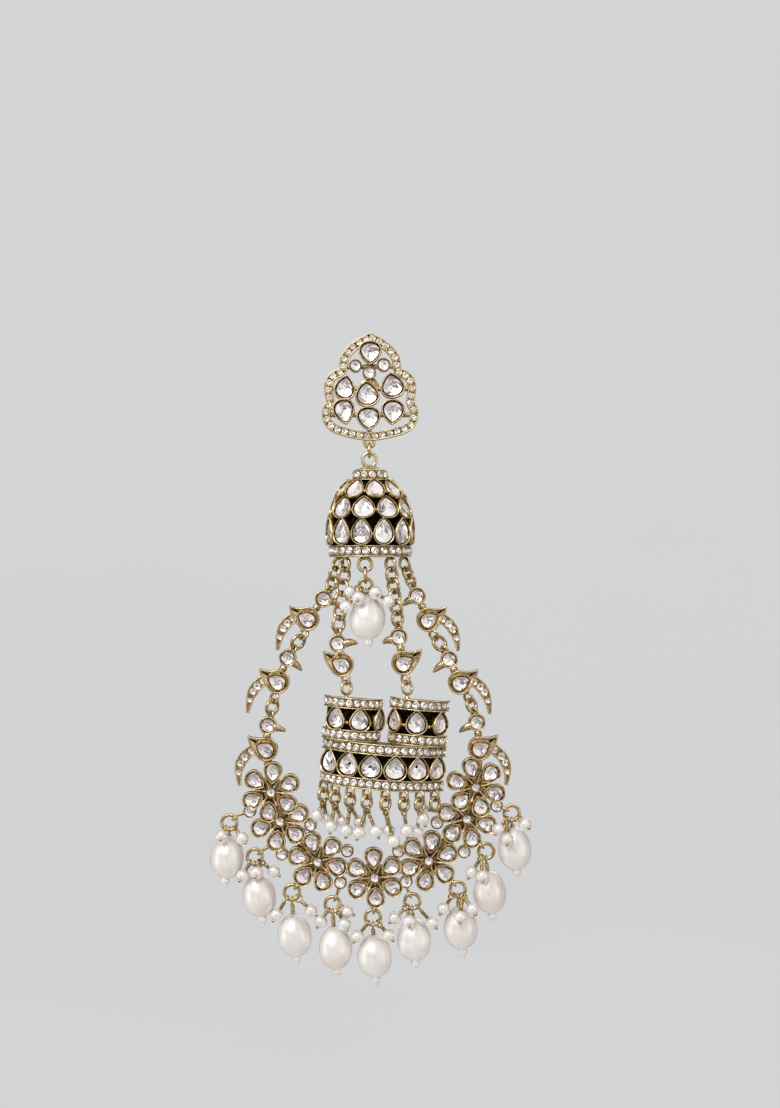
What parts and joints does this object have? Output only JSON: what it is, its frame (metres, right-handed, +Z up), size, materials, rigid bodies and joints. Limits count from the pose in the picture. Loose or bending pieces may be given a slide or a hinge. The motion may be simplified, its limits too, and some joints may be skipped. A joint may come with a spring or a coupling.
{
  "type": "chandbali earring",
  "caption": "Chandbali drop earring: paved stud on an ear post, jhumka dome, bird chains, fringed panel and a crescent of stone flowers with pearl drops.",
  "frame": {"origin": "where the ear post leaves the middle of the stud's flat back", "axes": "+Z up along the hanging earring, +Y back along the ear post, +X to the right as seen from the front"},
  "size_m": [0.0739, 0.0256, 0.1503],
  "materials": {
    "antique_gold": "antique gold plate, satin, darkened in its recesses",
    "crystal": "clear foil-backed stone, polished flats",
    "pearl": "white nacre, soft gloss",
    "seed_pearl": "small white pearls on gold head pins"
  },
  "bodies": {
    "stud": {"ear_post": "antique_gold", "stud_frame": "antique_gold", "stud_stone_low_centre": "crystal", "stud_stone_low_left": "crystal", "stud_stone_low_right": "crystal", "stud_stone_mid_centre": "crystal", "stud_stone_mid_left": "crystal", "stud_stone_mid_right": "crystal", "stud_stone_top": "crystal"},
    "link": {"stud_ring": "antique_gold"},
    "drop": {"bird_inner_left": "antique_gold", "bird_inner_right": "antique_gold", "bird_left_1": "antique_gold", "bird_left_2": "antique_gold", "bird_right_1": "antique_gold", "bird_right_2": "antique_gold", "centre_pearl_pearl": "pearl", "centre_pearl_ring_1": "antique_gold", "centre_pearl_seeds": "seed_pearl", "crescent": "antique_gold", "drop_1_pearl": "pearl", "drop_1_seeds": "seed_pearl", "drop_2_pearl": "pearl", "drop_2_seeds": "seed_pearl", "drop_3_pearl": "pearl", "drop_3_seeds": "seed_pearl", "drop_4_pearl": "pearl", "drop_4_seeds": "seed_pearl", "drop_5_pearl": "pearl", "drop_5_seeds": "seed_pearl", "drop_6_pearl": "pearl", "drop_6_seeds": "seed_pearl", "drop_7_pearl": "pearl", "drop_7_seeds": "seed_pearl", "drop_8_pearl": "pearl", "drop_8_seeds": "seed_pearl", "drop_9_pearl": "pearl", "drop_9_seeds": "seed_pearl", "fringe_1": "seed_pearl", "fringe_2": "seed_pearl", "fringe_3": "seed_pearl", "fringe_4": "seed_pearl", "fringe_5": "seed_pearl", "fringe_6": "seed_pearl", "fringe_7": "seed_pearl", "fringe_8": "seed_pearl", "inner_left_chain": "antique_gold", "inner_right_chain": "antique_gold", "jhumka_dome": "antique_gold", "outer_left_1_ring_1": "antique_gold", "outer_left_1_ring_2": "antique_gold", "outer_left_2_ring_1": "antique_gold", "outer_left_3_ring_1": "antique_gold", "outer_right_1_ring_1": "antique_gold", "outer_right_1_ring_2": "antique_gold", "outer_right_2_ring_1": "antique_gold", "outer_right_3_ring_1": "antique_gold", "panel": "antique_gold"}
  },
  "joints": [
    {"name": "ring_swing", "type": "hinge", "parent": "stud", "child": "link", "pos_m": [0, -0.0008, -0.01405], "axis": [1, 0, 0], "range_deg": [-45, 45]},
    {"name": "drop_swing", "type": "hinge", "parent": "link", "child": "drop", "pos_m": [0, -0.0008, -0.0162], "axis": [0, 1, 0], "range_deg": [-45, 45]}
  ]
}
